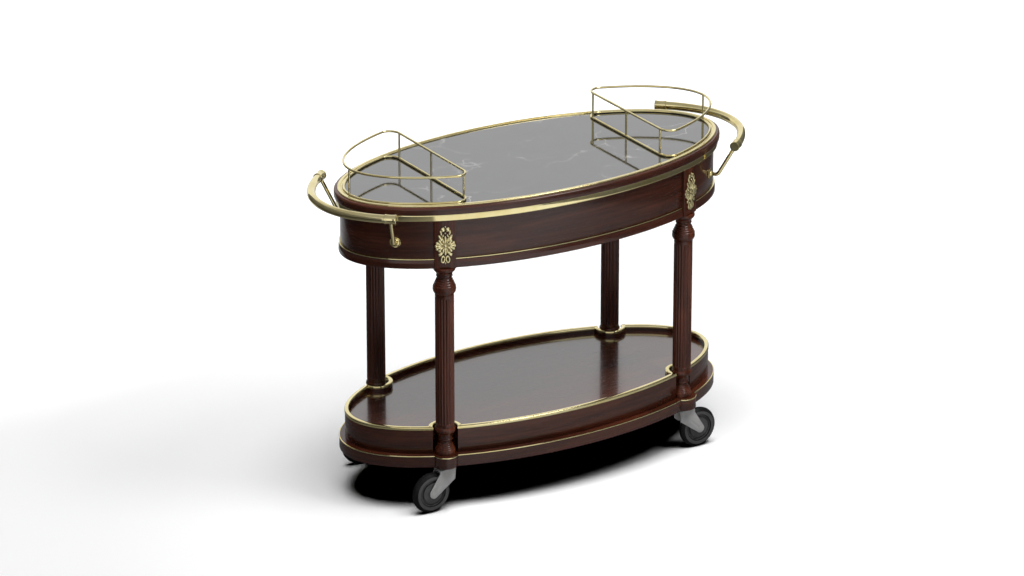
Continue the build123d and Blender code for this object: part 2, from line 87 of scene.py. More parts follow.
class Sheet:
    # the node sheet of one material or of the world
    def __init__(self, name, world=False):
        self.owner = (bpy.data.worlds if world else bpy.data.materials).new(name)
        self.owner.use_nodes = True
        self.tree = self.owner.node_tree
        self.tree.nodes.clear()
        self.place = self.add("ShaderNodeTexCoord", output="Generated" if world else "Object")

    def add(self, kind, settings=None, inputs=None, output=0):
        node = self.tree.nodes.new(kind)
        for key, value in (settings or {}).items():
            if key == "stops":
                self.setStops(node.color_ramp, value)
            else:
                setattr(node, key, value)
        for key, value in (inputs or {}).items():
            if isinstance(value, Signal):
                self.tree.links.new(value.socket, node.inputs[key])
            else:
                node.inputs[key].default_value = value
        return Signal(self, node.outputs[output]) if node.outputs else None

    def setStops(self, ramp, stops):
        while len(ramp.elements) < len(stops):
            ramp.elements.new(0.5)
        for element, (position, grey) in zip(ramp.elements, stops):
            element.position = position
            element.color = (grey, grey, grey, 1)

    def mapped(self, scale, shift=(0, 0, 0), turn=(0, 0, 0)):
        return self.add("ShaderNodeMapping", None,
                        {"Vector": self.place, "Location": shift, "Rotation": turn, "Scale": scale})

    def noise(self, scale, detail, rough=0.55, warp=0.0, shift=(0, 0, 0)):
        return self.add("ShaderNodeTexNoise", None,
                        {"Vector": self.mapped(scale, shift), "Scale": 1.0, "Detail": detail,
                         "Roughness": rough, "Distortion": warp})

    def ramp(self, value, *stops):
        return self.add("ShaderNodeValToRGB", {"stops": stops}, {"Fac": value})

    def tint(self, share, first, second):
        # a colour between two, by share
        return self.add("ShaderNodeMix", {"data_type": "RGBA"},
                        {0: share, 6: colour(first), 7: colour(second)}, output=2)

    def bump(self, height, strength, depth):
        return self.add("ShaderNodeBump", None, {"Height": height, "Strength": strength, "Distance": depth})

    def finish(self, **values):
        names = {"base": "Base Color", "rough": "Roughness", "metal": "Metallic", "coat": "Coat Weight",
                 "coatRough": "Coat Roughness", "ior": "IOR", "specular": "Specular IOR Level",
                 "normal": "Normal"}
        links = {names[key]: value for key, value in values.items()}
        shader = self.add("ShaderNodeBsdfPrincipled", None, links)
        self.add("ShaderNodeOutputMaterial", None, {"Surface": shader})
        return self.owner


def colour(value):
    return value if isinstance(value, Signal) else (*value, 1)


def times(share, parts):
    return [share * part for part in parts]


# Finishes

mahoganyLook = {"dark": (0.046, 0.0115, 0.0055), "mid": (0.086, 0.0220, 0.0100),
                "light": (0.130, 0.034, 0.015), "rough": 0.20, "specular": 0.42,
                "coat": 0.10, "coatRough": 0.06}
legLook = {**mahoganyLook, "rough": 0.16, "specular": 0.30, "coat": 0.06}
floorLook = {**mahoganyLook, "rough": 0.22, "specular": 0.5, "coat": 0.85, "coatRough": 0.09}


def mahogany(name, streak, figure, look=mahoganyLook, gain=1.0):
    # streak and figure scale the grain: large numbers across it, small ones along it
    sheet = Sheet(name)
    grain = sheet.noise(streak, 6.0, rough=0.62, warp=0.4)
    flame = sheet.noise(figure, 3.0, warp=0.9, shift=(3.1, 1.7, 0.4))
    pores = sheet.noise(times(4, streak), 3.0, rough=0.6, shift=(0.6, 2.2, 5.1))
    blend = sheet.ramp(grain * 0.6 + flame * 0.5, (0.40, 0.0), (0.70, 1.0))
    base = sheet.tint(blend, look["dark"], times(gain, look["mid"]))
    lit = sheet.ramp(flame, (0.50, 0.0), (0.78, 0.75))
    base = sheet.tint(lit, base, times(gain, look["light"]))
    poreMask = sheet.ramp(pores, (0.60, 0.0), (0.70, 1.0))
    base = sheet.tint(poreMask * 0.65, base, times(0.4, look["dark"]))
    rough = look["rough"] + (grain - 0.5) * 0.2 + poreMask * 0.12
    return sheet.finish(base=base, rough=rough, coat=look["coat"], coatRough=look["coatRough"],
                        specular=look["specular"],
                        normal=sheet.bump(grain - poreMask * 0.4, strength=0.10, depth=0.0004))


brassLook = {"bright": (0.82, 0.725, 0.40), "warm": (0.66, 0.525, 0.19), "rough": 0.07}
zincLook = {"bright": (0.60, 0.60, 0.60), "warm": (0.42, 0.41, 0.40), "rough": 0.38}


def polishedMetal(name, look, wear=1.0):
    sheet = Sheet(name)
    cloud = sheet.noise((9, 9, 9), 5.0, rough=0.6, warp=0.3)
    haze = sheet.noise((60, 60, 60), 3.0, rough=0.6, shift=(1.3, 4.1, 2.2))
    scuff = sheet.noise((420, 420, 420), 2.0, rough=0.7, shift=(2.7, 0.3, 3.9))
    base = sheet.tint(sheet.ramp(cloud, (0.42, 0.0), (0.72, 0.7)), look["bright"], look["warm"])
    rough = look["rough"] + (haze - 0.5) * (0.06 * wear) + (scuff - 0.5) * (0.04 * wear)
    return sheet.finish(base=base, rough=rough, metal=1.0,
                        normal=sheet.bump(haze * 0.6 + scuff * 0.15, strength=0.05 * wear, depth=0.0004))


castLook = {"high": (0.86, 0.765, 0.43), "low": (0.17, 0.12, 0.035), "rough": 0.2}


def castBrass(name, look=castLook):
    # polished high spots; the low parts darkened, partly tarnish left in the hollows and partly painted
    # shade in the recesses and gaps of the openwork
    sheet = Sheet(name)
    relief = sheet.add("ShaderNodeAttribute", {"attribute_name": "relief"}, output="Fac")
    mottle = sheet.noise((120, 120, 120), 4.0, rough=0.6, warp=0.3)
    # darker towards the ground of the casting: tarnish together with painted shade
    hollow = sheet.ramp(relief + (mottle - 0.5) * 0.2, (0.38, 1.0), (0.72, 0.0))
    base = sheet.tint(hollow * 0.9, look["high"], look["low"])
    rough = look["rough"] + hollow * 0.25 + (mottle - 0.5) * 0.08
    return sheet.finish(base=base, rough=rough, metal=1.0,
                        normal=sheet.bump(mottle, strength=0.12, depth=0.0006))


stoneLook = {"ground": (0.0075, 0.0075, 0.008), "cloud": (0.022, 0.022, 0.024), "vein": (0.42, 0.41, 0.39),
             "rough": 0.06, "ior": 1.9, "coat": 0.7, "coatRough": 0.03}


def blackStone(name, look=stoneLook):
    sheet = Sheet(name)
    drift = sheet.noise((2.6, 3.4, 3.0), 5.0, warp=1.2)
    mottle = sheet.noise((14, 14, 14), 5.0, rough=0.6, warp=0.5, shift=(1.2, 0.2, 0.0))
    warp = sheet.noise((3.2, 3.2, 3.2), 4.0, shift=(0.7, 2.9, 0.0))
    slant = sheet.mapped((1, 1, 1), turn=(0, 0, 0.5))
    push = sheet.add("ShaderNodeCombineXYZ", None, {"X": warp * 0.55, "Y": (1 - warp) * 0.45})
    bent = sheet.add("ShaderNodeVectorMath", {"operation": "ADD"}, {0: slant, 1: push})
    crack = sheet.add("ShaderNodeTexVoronoi", {"feature": "DISTANCE_TO_EDGE"},
                      {"Vector": bent, "Scale": 3.4, "Randomness": 1.0})
    hair = sheet.ramp(crack, (0.0, 1.0), (0.012, 0.0))
    broken = sheet.ramp(drift, (0.47, 0.0), (0.60, 1.0))
    vein = hair * broken * sheet.ramp(mottle, (0.30, 0.25), (0.62, 1.0))
    base = sheet.tint(sheet.ramp(mottle, (0.35, 0.0), (0.8, 1.0)), look["ground"], look["cloud"])
    base = sheet.tint(vein, base, look["vein"])
    rough = look["rough"] + (mottle - 0.5) * 0.04
    return sheet.finish(base=base, rough=rough, ior=look["ior"], coat=look["coat"],
                        coatRough=look["coatRough"], normal=sheet.bump(mottle, strength=0.015, depth=0.0003))


forkLook = {"base": (0.56, 0.555, 0.55), "rough": 0.5, "grime": 0.25}
hubLook = {"base": (0.085, 0.085, 0.086), "rough": 0.5, "grime": 0.3}


def casterGrey(name, look):
    # sprayed or moulded finish with fine orange peel and a little grime
    sheet = Sheet(name)
    peel = sheet.noise((700, 700, 700), 2.0, rough=0.5)
    dirt = sheet.noise((38, 38, 38), 5.0, rough=0.65, warp=0.4)
    mask = sheet.ramp(dirt, (0.48, 0.0), (0.74, look["grime"]))
    base = sheet.tint(mask, look["base"], times(0.6, look["base"]))
    return sheet.finish(base=base, rough=look["rough"] + (dirt - 0.5) * 0.15,
                        normal=sheet.bump(peel, strength=0.15, depth=0.0005))


tyreLook = {"tread": (0.004, 0.004, 0.004), "dust": (0.016, 0.0155, 0.015), "rough": 0.5, "specular": 0.22}


def tyreRubber(name, look=tyreLook):
    sheet = Sheet(name)
    grit = sheet.noise((320, 320, 320), 3.0, rough=0.65)
    smear = sheet.noise((30, 30, 30), 4.0, rough=0.6, warp=0.6, shift=(0.4, 0.9, 0.1))
    dusty = sheet.ramp(smear + (grit - 0.5) * 0.3, (0.45, 0.0), (0.75, 0.7))
    base = sheet.tint(dusty, look["tread"], look["dust"])
    return sheet.finish(base=base, rough=look["rough"] + (grit - 0.5) * 0.2, specular=look["specular"],
                        normal=sheet.bump(grit, strength=0.2, depth=0.0004))


finishes = {
    "mahogany": mahogany("lacquered mahogany, grain round the oval", (7, 7, 190), (2.6, 2.6, 26)),
    "leg_mahogany": mahogany("lacquered mahogany, grain up the legs", (170, 170, 5), (30, 30, 2.2),
                             legLook, gain=1.5),
    "floor_mahogany": mahogany("polished mahogany tray floor", (4.5, 110, 60), (1.6, 13, 9),
                               floorLook, gain=1.15),
    "rack_mahogany": mahogany("satin mahogany rack", (110, 5, 60), (16, 2, 9)),
    "black_stone": blackStone("black stone with pale veins"),
    "brass": polishedMetal("polished brass", brassLook),
    "cast_brass": castBrass("cast brass"),
    "fork_grey": casterGrey("grey fork paint", forkLook),
    "hub_grey": casterGrey("dark grey hub", hubLook),
    "tyre_black": tyreRubber("black tyre rubber"),
    "caster_steel": polishedMetal("zinc plated steel", zincLook, wear=1.6),
}
for part in frame["record"]["subparts"]:
    materials = nodes[part["node"]].data.materials
    materials.clear()
    materials.append(finishes[part["material_slot"]])
print("finishes set")


# Plan and heights of the cart in millimetres, as in the frame

plan = {"a": 607.0, "b": 281.0, "legAngle": math.radians(47.8), "legInset": 13.0, "steps": 224}
level = {"plinth": 135.0, "tray": 171.0, "rail": 243.5, "railTop": 252.5, "apron": 742.0, "band": 887.0,
         "lip": 905.0, "top": 928.5}
block = {"half": 31.0, "face": 22.5, "back": 31.0, "edge": 1.8}  # square head of a leg, about its axis
lobe = {"growth": 10.5, "radius": 36.5, "shift": 8.5}  # round foot of the plinth under a leg
corners = {"front_left": (-1, -1), "front_right": (1, -1), "back_left": (-1, 1), "back_right": (1, 1)}
upward = Vector((0, 0, 1))


def ovalNormal(angle):
    return Vector((math.cos(angle) / plan["a"], math.sin(angle) / plan["b"], 0)).normalized()


def ovalPoint(angle, growth=0.0):
    spot = Vector((plan["a"] * math.cos(angle), plan["b"] * math.sin(angle), 0))
    return spot + ovalNormal(angle) * growth


def between(start, end, steps):
    return [start + (end - start) * i / steps for i in range(steps + 1)]


def solve(measure, low, high):
    # where a rising or falling measure passes nought
    rising = measure(high) > measure(low)
    for _ in range(50):
        middle = (low + high) / 2
        if (measure(middle) < 0) == rising:
            low = middle
        else:
            high = middle
    return (low + high) / 2


def besideLeg(measure):
    # where a measure passes nought on the oval, just before and just after the leg
    leg, reach = plan["legAngle"], 0.2
    return solve(measure, leg - reach, leg), solve(measure, leg, leg + reach)


legNormal = ovalNormal(plan["legAngle"])
legTangent = Vector((-legNormal.y, legNormal.x, 0))
legSpot = ovalPoint(plan["legAngle"], -plan["legInset"])
lobeSpot = legSpot + legNormal * lobe["shift"]


# Paths: lists of frames, each a point, the way that growth leans there and the way that height rises

def ovalStretch(first, last, steps, growth=0.0):
    return [(ovalPoint(turn, growth), ovalNormal(turn), upward) for turn in between(first, last, steps)]


def arcRound(centre, radius, start, stop, steps, facing=1):
    frames = []
    for turn in between(start, stop, steps):
        ray = Vector((math.cos(turn), math.sin(turn), 0))
        frames.append((centre + ray * radius, ray * facing, upward))
    return frames


def mirrored(path, sideX, sideY):
    flip = Matrix.Diagonal((sideX, sideY, 1))
    return [(flip @ spot, flip @ lean, rise) for spot, lean, rise in path]


def mitred(path, following):
    # one path after another that starts where the first ends, with a mitre between them
    spot, one, rise = path[-1]
    other = following[0][1]
    mitre = (one + other) / (1 + one.dot(other))
    return path[:-1] + [(spot, mitre, rise)] + following[1:]


def roundLegs(growth, centre, radius, outside):
    # the oval with an arc round each leg; one quarter, then its mirror images
    sideSteps, arcSteps = 30, 26
    first, second = besideLeg(lambda angle: (ovalPoint(angle, growth) - centre).length - radius)
    ends = [ovalPoint(angle, growth) - centre for angle in (first, second)]
    start, stop = [math.atan2(end.y, end.x) for end in ends]
    facing = 1 if outside else -1
    if not outside:
        stop -= math.tau
    quarter = ovalStretch(0, first, sideSteps, growth)
    quarter = mitred(quarter, arcRound(centre, radius, start, stop, arcSteps, facing))
    quarter = mitred(quarter, ovalStretch(second, math.pi / 2, sideSteps, growth))
    back = quarter[::-1]
    return quarter + mirrored(back, -1, 1)[1:] + mirrored(quarter, -1, -1)[1:] + mirrored(back, 1, -1)[1:-1]


def panelPath(first, second):
    # along the oval between two leg blocks, the ends flat against them
    path = ovalStretch(first, second, 60)
    for place, turn in ((0, first), (-1, second)):
        spot, lean, rise = path[place]
        sideX = math.copysign(legNormal.x, math.cos(turn))
        sideY = math.copysign(legNormal.y, math.sin(turn))
        side = Vector((sideX, sideY, 0))
        path[place] = (spot, side / side.dot(lean), rise)
    return path


# Shapes

def closeHoles(bm):
    bmesh.ops.holes_fill(bm, edges=[edge for edge in bm.edges if edge.is_boundary], sides=0)


def sweep(path, profile, closed=True, filled=False):
    # profile: corners of growth, height and rounding
    # filled leaves out the profile's last side and closes the shape flat across the path
    reach = 5000.0  # the section is spun far out, then every step of the spin goes to its frame
    bm = bmesh.new()
    section = [bm.verts.new((reach + growth, 0, height)) for growth, height, _ in profile]
    bm.faces.new(section)
    lastSide = bm.edges.get((section[0], section[-1]))
    for vert, (_, _, rounding) in zip(section, profile):
        if rounding:
            bmesh.ops.bevel(bm, geom=[vert], offset=rounding, offset_type="OFFSET", affect="VERTICES",
                            segments=max(2, min(6, round(rounding) + 1)), profile=0.5, material=-1)
    bmesh.ops.delete(bm, geom=bm.faces[:], context="FACES_ONLY")
    if filled:
        bmesh.ops.delete(bm, geom=[lastSide], context="EDGES")
    count = len(path) if closed else len(path) - 1
    wide = math.tau if closed else math.pi
    bmesh.ops.spin(bm, geom=bm.verts[:] + bm.edges[:], cent=(0, 0, 0), axis=(0, 0, 1), angle=wide,
                   steps=count, use_merge=closed)
    for vert in bm.verts:
        turn = math.atan2(vert.co.y, vert.co.x) % math.tau
        spot, lean, rise = path[round(turn / wide * count) % len(path)]
        growth = math.hypot(vert.co.x, vert.co.y) - reach
        vert.co = spot + lean * growth + rise * vert.co.z
    if filled or not closed:
        closeHoles(bm)
    return bm


def ringProfile(radius, sides=16):
    turns = [math.tau * i / sides for i in range(sides)]
    return [(radius * math.cos(turn), radius * math.sin(turn), 0) for turn in turns]


def raised(profile, height):
    return [(growth, height + rise, rounding) for growth, rise, rounding in profile]


def swollen(start, end, steps, swell):
    # points from one (radius, height) to another, moved out from the straight line by swell at each share
    along = Vector(end) - Vector(start)
    across = Vector((along.y, -along.x)).normalized()
    return [Vector(start) + along * share + across * swell(share) for share in between(0, 1, steps)]


def arcStretch(start, end, bulge, steps=8):
    return swollen(start, end, steps, lambda share: bulge * (1 - (2 * share - 1) ** 2))


def ridged(start, end, count, height):
    # a straight slope with small rounded ridges
    return swollen(start, end, 6 * count, lambda share: height * abs(math.sin(math.pi * share * count)))


def lathe(points, steps):
    # turns (radius, height) points about the upright axis; open ends are closed flat
    bm = bmesh.new()
    verts = [bm.verts.new((radius, 0, height)) for radius, height in points]
    for one, other in zip(verts, verts[1:]):
        bm.edges.new((one, other))
    bmesh.ops.spin(bm, geom=bm.verts[:] + bm.edges[:], cent=(0, 0, 0), axis=(0, 0, 1), angle=math.tau,
                   steps=steps, use_merge=True)
    bmesh.ops.remove_doubles(bm, verts=bm.verts, dist=0.001)
    closeHoles(bm)
    return bm


def placed(bm, matrix):
    bmesh.ops.transform(bm, matrix=matrix, verts=bm.verts)
    return bm


def meshOf(name, bm):
    mesh = bpy.data.meshes.new(name)
    bm.to_mesh(mesh)
    bm.free()
    return mesh


def joined(*parts):
    # several shapes as one
    whole = bmesh.new()
    for part in parts:
        spare = meshOf("spare", part)
        whole.from_mesh(spare)
        bpy.data.meshes.remove(spare)
    return whole


def shown(name, content):
    made = bpy.data.objects.new(name, content)
    bpy.context.scene.collection.objects.link(made)
    return made


def piece(name, bm, slot, replaced, body="cart", crease=35.0):
    # a finished object in metres, with its finish, body and the nodes that it stands for
    bmesh.ops.scale(bm, vec=(mm, mm, mm), verts=bm.verts)
    bmesh.ops.recalc_face_normals(bm, faces=bm.faces)
    for face in bm.faces:
        face.smooth = True
    for edge in bm.edges:
        edge.smooth = edge.calc_face_angle(0) < math.radians(crease)
    mesh = meshOf(name, bm)
    mesh.materials.append(finishes[slot])
    made = shown(name, mesh)
    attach(made, body)
    if replaced:
        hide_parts(*replaced)


# Top of the box: board with a rounded lip, rim strip round the stone and fascia strip under the lip

topBoard = {"inner": -60.0, "stoneEdge": -0.5, "stoneDepth": 20.0, "lip": 16.8, "over": 7.0, "under": 4.0,
            "core": 9.4}
stoneRim = ((6.5, 0, 0), (6.5, 4, 2.2), (-3, 4, 1.4), (-3, 1.6, 0),
            (-4.2, 1.6, 0), (-4.2, 2.8, 1.2), (-8, 2.8, 1.2), (-8, 0, 0))  # heights above the top
fasciaHalf = ((9.5, 0, 0), (11.2, 0, 0.6), (12.0, 2.0, 1.5))  # heights in from either edge


def makeTop():
    oval = ovalStretch(0, math.tau, plan["steps"])[:-1]
    low, high, top = level["band"], level["lip"], level["top"]
    inner, edge, lip, core = [topBoard[part] for part in ("inner", "stoneEdge", "lip", "core")]
    seat = top - topBoard["stoneDepth"]
    board = [(inner, seat, 0), (edge, seat, 0), (edge, top, 0), (lip, top, topBoard["over"]),
             (lip, high, topBoard["under"]), (core, high, 0), (core, low, 0), (inner, low, 0)]
    piece("top_board_lip", sweep(oval, board, filled=True), "mahogany", ["top_board"])
    piece("stone_rim_strip", sweep(oval, raised(stoneRim, top)), "brass", ["stone_rim"])
    upperHalf = [(growth, high - rise, rounding) for growth, rise, rounding in reversed(fasciaHalf)]
    piece("fascia_strip", sweep(oval, raised(fasciaHalf, low) + upperHalf), "brass", ["fascia_band"])


makeTop()


# Apron panels, mouldings and beads between the leg blocks; outlines have heights above the apron's foot

apron = {"thick": 18.0, "ease": 0.8}
apronMoulding = ((0.1, 0, 0), (4.4, 0, 1.0), (5.5, 2.5, 1.0), (5.5, 17, 2.5), (3.2, 24, 1.5), (2.6, 26, 0),
                 (0.1, 26, 0))
apronBead = ((0.1, 26, 0), (4.5, 26, 1.4), (4.5, 29, 1.4), (0.1, 29, 0))


def makeAprons():
    def past(angle):
        return (ovalPoint(angle) - legSpot).dot(legTangent)

    towardsEnd = besideLeg(lambda angle: past(angle) + block["half"])[0]
    towardsBack = besideLeg(lambda angle: past(angle) - block["half"])[1]
    right = panelPath(-towardsEnd, towardsEnd)
    back = panelPath(towardsBack, math.pi - towardsBack)
    paths = {"right": right, "left": mirrored(right, -1, 1), "back": back, "front": mirrored(back, 1, -1)}
    low, high = level["apron"], level["band"]
    board = [(0, low, apron["ease"]), (0, high, 0), (-apron["thick"], high, 0),
             (-apron["thick"], low, apron["ease"])]
    for name, path in paths.items():
        piece(name + "_apron_panel", sweep(path, board, closed=False), "mahogany", [name + "_apron"])
    mouldings = [sweep(path, raised(apronMoulding, low), closed=False) for path in paths.values()]
    piece("apron_base_mouldings", joined(*mouldings), "mahogany", ["apron_mouldings"])
    beads = [sweep(path, raised(apronBead, low), closed=False) for path in paths.values()]
    piece("apron_bead_strips", joined(*beads), "brass", ["apron_beads"])


makeAprons()


# Wire galleries: straight side, rounded corners, oval end

gallery = {"straight": 328.0, "corner": 32.0, "growth": -11.9, "rod": 3.5, "post": 3.0, "height": 83.9}


def galleryPath():
    # also gives how far the straight side reaches to each corner's start
    deep = gallery["growth"] - gallery["corner"]
    middle = gallery["straight"] + gallery["corner"]
    meet = solve(lambda angle: ovalPoint(angle, deep).x - middle, 0.2, 1.5)
    centre = ovalPoint(meet, deep)
    normal = ovalNormal(meet)
    half = ovalStretch(0, meet, 40, gallery["growth"])
    half += arcRound(centre, gallery["corner"], math.atan2(normal.y, normal.x), math.pi, 14)[1:]
    return half + mirrored(half[::-1], 1, -1)[:-1], centre.y


def makeGalleries():
    path, straightHalf = galleryPath()
    low = level["top"] + gallery["rod"]
    high = level["top"] + gallery["height"] - gallery["rod"]
    feet = [(gallery["straight"], y) for y in (-straightHalf, 0, straightHalf)]
    feet.append((plan["a"] + gallery["growth"], 0))
    for name, side in (("right", 1), ("left", -1)):
        for rail, height in (("base", low), ("top", high)):
            rod = sweep(mirrored(path, side, 1), raised(ringProfile(gallery["rod"]), height))
            piece(f"{name}_gallery_{rail}_rod", rod, "brass", [f"{name}_gallery_{rail}_rail"], crease=60)
        posts = []
        for x, y in feet:
            post = lathe([(gallery["post"], low), (gallery["post"], high)], steps=20)
            posts.append(placed(post, Matrix.Translation((side * x, y, 0))))
        piece(name + "_gallery_post_rods", joined(*posts), "brass", [name + "_gallery_posts"])


makeGalleries()
print("top, aprons and galleries made")


# Tray and plinth: the wall has a niche round each leg, the plinth a lobe

niche = {"growth": -6.5, "radius": 36.5}
trayWall = {"thick": 11.0, "ease": 0.6}
trayRail = {"outer": 1.0, "inner": -12.0, "ease": 0.8, "round": 3.2}
plinth = {"inner": -12.0, "ease": 1.5}
plinthBead = {"seat": -1.7, "face": 1.2, "high": 3.5, "round": 1.4}


def makeTray():
    tray, low, high = level["tray"], level["rail"], level["railTop"]
    wallPath = roundLegs(niche["growth"], legSpot, niche["radius"], outside=False)
    inner = -trayWall["thick"]
    wallOutline = [(0, tray, trayWall["ease"]), (0, low, 0), (inner, low, 0), (inner, tray, 0)]
    piece("tray_wall_ring", sweep(wallPath, wallOutline), "mahogany", ["tray_wall"])
    outer, inner = trayRail["outer"], trayRail["inner"]
    railOutline = [(outer, low, trayRail["ease"]), (outer, high, trayRail["round"]),
                   (inner, high, trayRail["round"]), (inner, low, trayRail["ease"])]
    piece("tray_rail_strip", sweep(wallPath, railOutline), "brass", ["tray_rail"])
    plinthPath = roundLegs(lobe["growth"], lobeSpot, lobe["radius"], outside=True)
    inner, foot = plinth["inner"], level["plinth"]
    seat, face, rounding = plinthBead["seat"], plinthBead["face"], plinthBead["round"]
    step = tray - plinthBead["high"]
    board = [(inner, tray, 0), (seat, tray, 0), (seat, step, 0), (0, step, 0), (0, foot, plinth["ease"]),
             (inner, foot, 0)]
    piece("plinth_board", sweep(plinthPath, board, filled=True), "mahogany", ["plinth"])
    bead = [(seat, step, 0), (face, step, rounding), (face, tray, rounding), (seat, tray, 0)]
    piece("plinth_bead_strip", sweep(plinthPath, bead), "brass", ["plinth_bead"])


makeTray()
print("tray and plinth made")


# Legs: turned shaft with flutes, square block above
# turned has each member's radius, rises where it starts and ends above the tray

turned = {"tenon": 13.0, "foot": 30.2, "cone": 29.6, "waist": 20.2, "waistBead": 22.5, "ankle": 21.0,
          "ring": 30.5, "shaft": 27.2, "bulb": 32.8, "neck": 21.2, "collar": 24.6, "flare": 32.4,
          "core": 10.0}
rises = {"tenon": (-24.0, 0.0), "foot": (0.8, 10.2), "cone": (11.0, 32.0), "waist": (33.0, 41.0),
         "waistBead": (41.4, 47.6), "ankle": (48.0, 66.0), "ring": (66.0, 84.0), "shaft": (84.0, 489.0),
         "ovolo": (491.0, 510.0), "bulb": (511.0, 536.4), "neck": (537.0, 541.0), "collar": (541.3, 547.7),
         "cove": (548.0, 560.0), "flare": (560.4, 571.0)}
flute = {"count": 20, "radius": 3.6, "depth": 1.8, "gap": 12.0, "fine": (0.3, 4.2), "straight": 2.0}


def legProfile():
    radius = turned
    at = {name: [level["tray"] + rise for rise in span] for name, span in rises.items()}

    def member(name, low, high, bulge, steps=8):
        return arcStretch((low, at[name][0]), (high, at[name][1]), bulge, steps)

    def ridges(name, low, high, swell):
        return ridged((low, at[name][0]), (high, at[name][1]), 4, swell)

    low, high = at["shaft"]
    fluted = (low + flute["gap"], high - flute["gap"])
    inside, outside = flute["fine"]  # short steps where the flutes' ends are round
    heights = [fluted[0] + step for step in between(-outside, inside, 12)]
    heights += between(fluted[0] + flute["straight"], fluted[1] - flute["straight"], 24)
    heights += [fluted[1] + step for step in between(-inside, outside, 12)]

    points = [(radius["tenon"], height) for height in at["tenon"]]
    points.append((radius["foot"] - 0.8, level["tray"]))
    points += [(radius["foot"], height) for height in at["foot"]]
    points += ridges("cone", radius["cone"], radius["waist"] + 0.6, 0.9)
    points += member("waist", radius["waist"], radius["waist"], -0.8)
    points += member("waistBead", radius["waistBead"] - 2, radius["waistBead"] - 2, 2)
    points += member("ankle", radius["ankle"], radius["ring"] - 4, -1.5)
    points += member("ring", radius["ring"] - 4, radius["ring"] - 4, 4, 12)
    points += [(radius["shaft"], height) for height in (low, *heights, high)]
    points += [(radius["shaft"] - 0.6, high + 0.6), (radius["shaft"] - 0.6, high + 1.6)]
    points += member("ovolo", radius["shaft"] + 0.6, radius["bulb"], 2.6, 12)
    points += ridges("bulb", radius["bulb"], radius["neck"] + 0.6, 1.1)
    points += member("neck", radius["neck"], radius["neck"], -0.5)
    points += member("collar", radius["collar"] - 3, radius["collar"] - 3, 2)
    points += member("cove", radius["collar"] - 2.2, radius["flare"] - 3.2, -1.2)
    points += member("flare", radius["flare"] - 2.6, radius["flare"] - 1.2, 1.6)
    points.append((radius["core"], at["flare"][1]))
    return points, fluted


def cutFlutes(bm, fluted):
    deep = turned["shaft"] + flute["radius"] - flute["depth"]
    pitch = math.tau / flute["count"]
    for vert in bm.verts:
        reach = math.hypot(vert.co.x, vert.co.y)
        if abs(reach - turned["shaft"]) > 0.01:
            continue
        turn = math.atan2(vert.co.y, vert.co.x)
        across = turned["shaft"] * math.sin(turn - round(turn / pitch) * pitch)
        past = max(fluted[0] - vert.co.z, vert.co.z - fluted[1], 0)
        left = flute["radius"] ** 2 - across ** 2 - past ** 2
        if left > 0:
            hollow = min(reach, deep - math.sqrt(left))
            vert.co.x *= hollow / reach
            vert.co.y *= hollow / reach


def legBlock():
    bm = bmesh.new()
    bmesh.ops.create_cube(bm, size=1)
    low, high = level["apron"], level["band"]
    size = Vector((2 * block["half"], block["face"] + block["back"], high - low))
    middle = Vector((0, (block["back"] - block["face"]) / 2, (low + high) / 2))
    placed(bm, Matrix.Translation(middle) @ Matrix.Diagonal((*size, 1)))
    front = [edge for edge in bm.edges if all(vert.co.y < 0 for vert in edge.verts)]
    eased = [edge for edge in front if any(vert.co.z < high - 1 for vert in edge.verts)]  # not the top edge
    bmesh.ops.bevel(bm, geom=eased, offset=block["edge"], offset_type="OFFSET", affect="EDGES",
                    segments=3, profile=0.5, material=-1)
    return bm


def atLeg(sideX, sideY):
    # from the leg's own axis, face towards -Y, to a corner of the cart
    turn = math.atan2(sideX * legNormal.x, -sideY * legNormal.y)
    return Matrix.Translation((sideX * legSpot.x, sideY * legSpot.y, 0)) @ Matrix.Rotation(turn, 4, "Z")


def makeLegs():
    points, fluted = legProfile()
    for name, sides in corners.items():
        shaft = lathe(points, steps=240)
        cutFlutes(shaft, fluted)
        leg = placed(joined(shaft, legBlock()), atLeg(*sides))
        piece(name + "_leg_turned", leg, "leg_mahogany", [name + "_leg"])


makeLegs()
print("legs made")


# Cast ornaments on the leg blocks: openwork of leaves, fans, scrolls and beads
# a mound has its place across and up, half its length and width, its height and its turn in degrees

ornament = {"height": 814.5, "ground": 0.8, "tube": 3.0, "thick": 4.8}
ornamentSide = {
    "heart lobe": (6.9, 46.0, 7.0, 6.6, 4.0, 20), "heart side": (12.4, 36.5, 8.5, 3.7, 3.6, 12),
    "heart foot": (7.0, 27.0, 5.5, 3.0, 3.2, -30), "shoulder leaf": (13.6, 19.8, 10.5, 4.8, 3.7, 33),
    "shoulder tip": (17.0, 27.0, 4.5, 3.2, 3.4, 62), "inner leaf up": (6.6, 13.0, 10.0, 3.4, 4.0, 20),
    "stem up": (10.4, 4.0, 6.5, 3.0, 3.6, 58), "stem down": (10.4, -9.5, 6.5, 3.0, 3.6, 122),
    "inner leaf down": (6.0, -18.0, 10.0, 3.4, 4.0, 160), "foot leaf": (12.6, -26.5, 9.5, 4.8, 3.6, 137),
    "foot tip": (16.8, -27.5, 4.0, 3.0, 3.4, 100)}
ornamentSpine = {
    "ground": (0, -3.0, 25.0, 19.0, 1.5, 0), "crown bead": (0, 54.0, 3.2, 2.4, 2.8, 0),
    "heart bead": (0, 35.5, 3.0, 2.6, 3.6, 0), "leaf up": (0, 15.5, 12.5, 4.2, 4.0, 0),
    "dome": (0, -2.5, 5.4, 5.0, 4.0, 0), "leaf down": (0, -19.5, 13.0, 4.0, 4.0, 0),
    "drop bead": (0, -54.2, 3.5, 2.4, 3.0, 0)}
